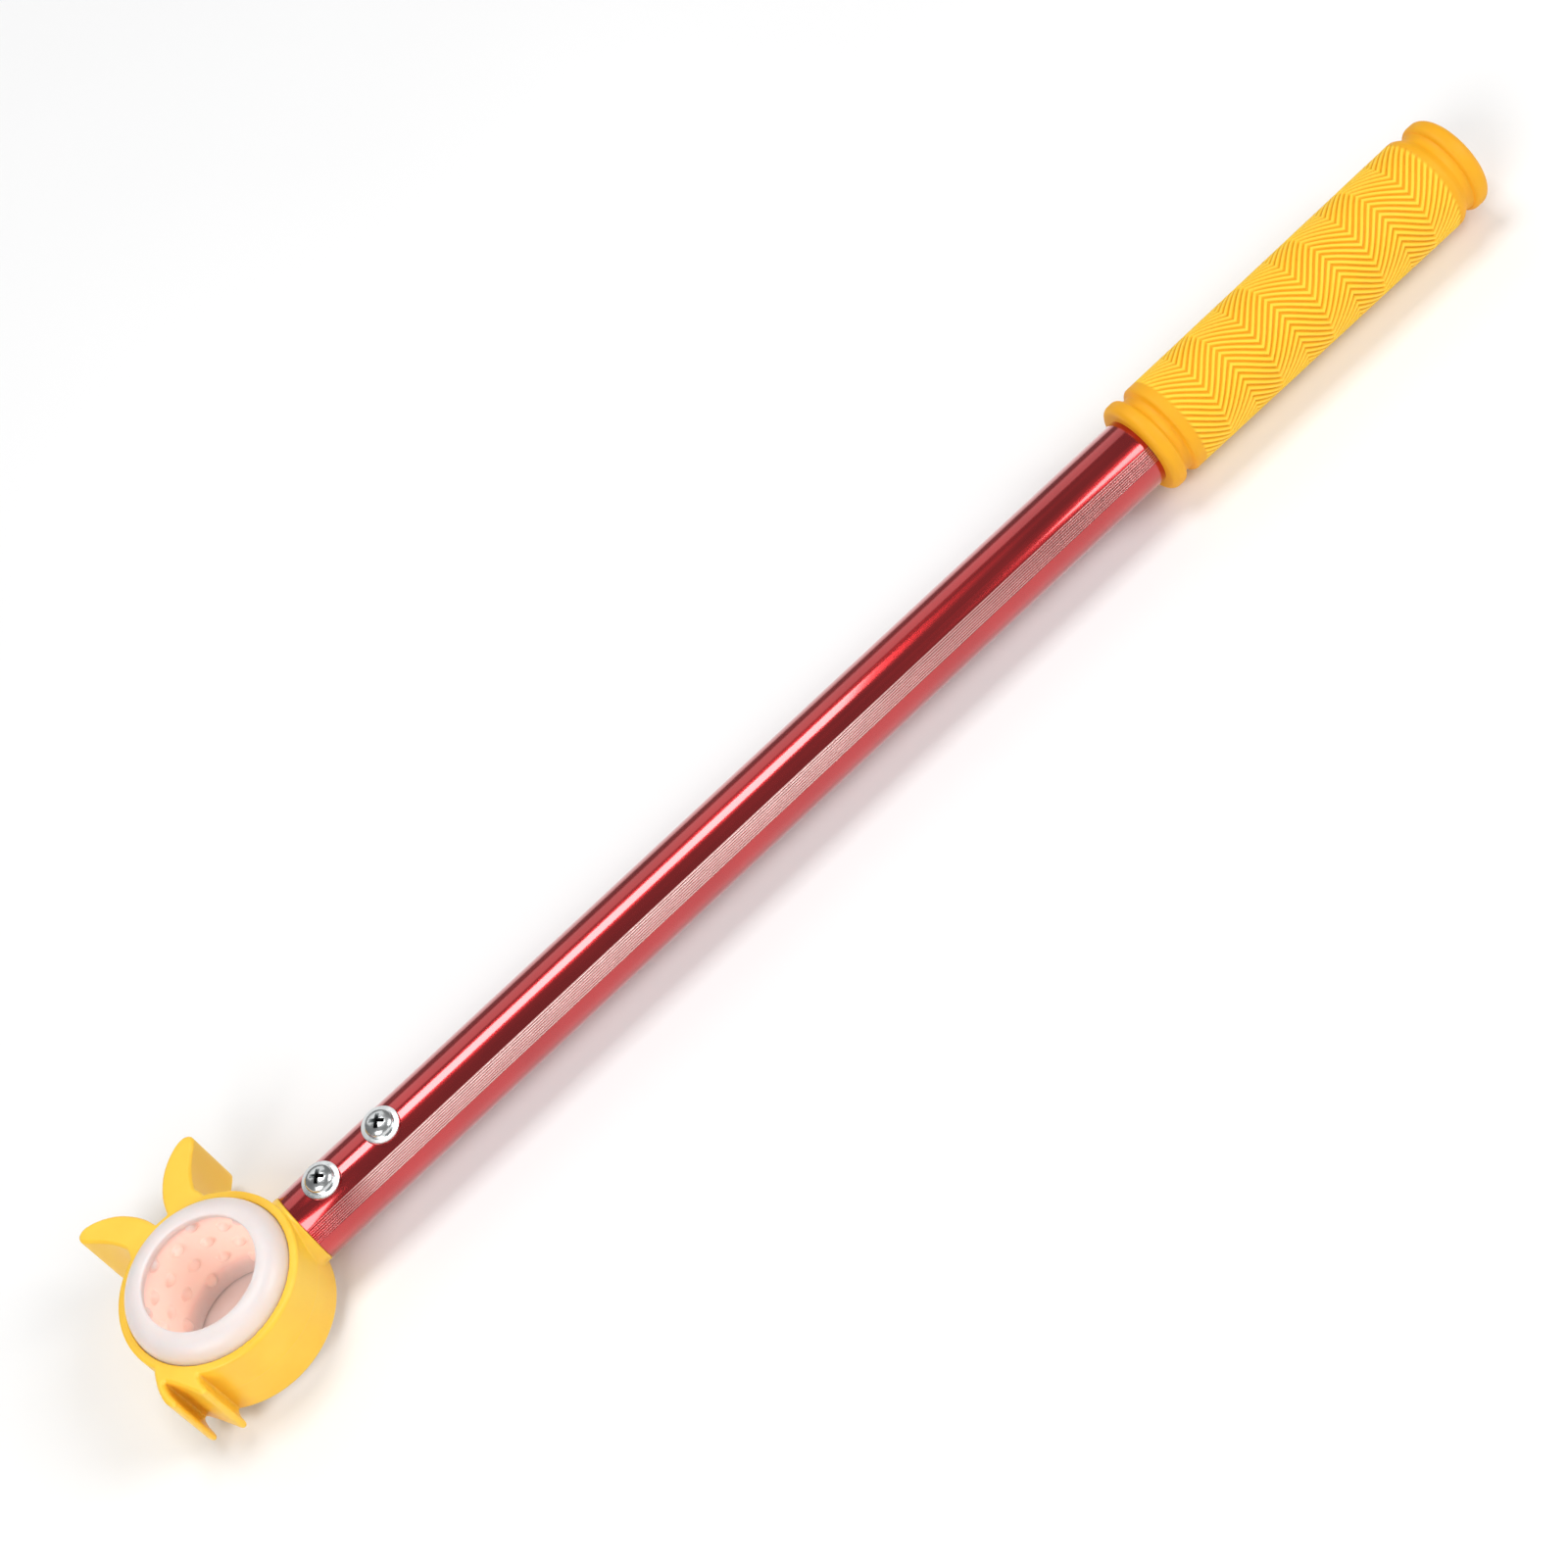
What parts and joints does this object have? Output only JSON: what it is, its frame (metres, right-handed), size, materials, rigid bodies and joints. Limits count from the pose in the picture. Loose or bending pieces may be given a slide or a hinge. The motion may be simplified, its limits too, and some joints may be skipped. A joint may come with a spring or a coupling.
{
  "type": "swing trainer stick",
  "caption": "Golf swing practice stick: a ring head with a soft open ball liner, ears and a small fork, on a grooved metal tube with a ridged rubber grip.",
  "frame": {"origin": "centre of the ball socket, at the middle of the ring head", "axes": "+X along the tube towards the grip, +Y towards the ears, +Z along the socket's axis on the side of the screws"},
  "size_m": [0.5675, 0.0796, 0.0392],
  "materials": {
    "head": "moulded yellow plastic, satin",
    "liner": "soft translucent white silicone, satin",
    "tube": "dark red anodised, glossy",
    "grip": "orange yellow rubber, matt",
    "screw": "bright zinc plated",
    "washer": "zinc plated, satin"
  },
  "bodies": {
    "root": {"head_frame": "head", "ball_liner": "liner", "shaft_tube": "tube", "grip_sleeve": "grip", "screw_near": "screw", "screw_far": "screw", "washer_near": "washer", "washer_far": "washer"}
  },
  "joints": []
}
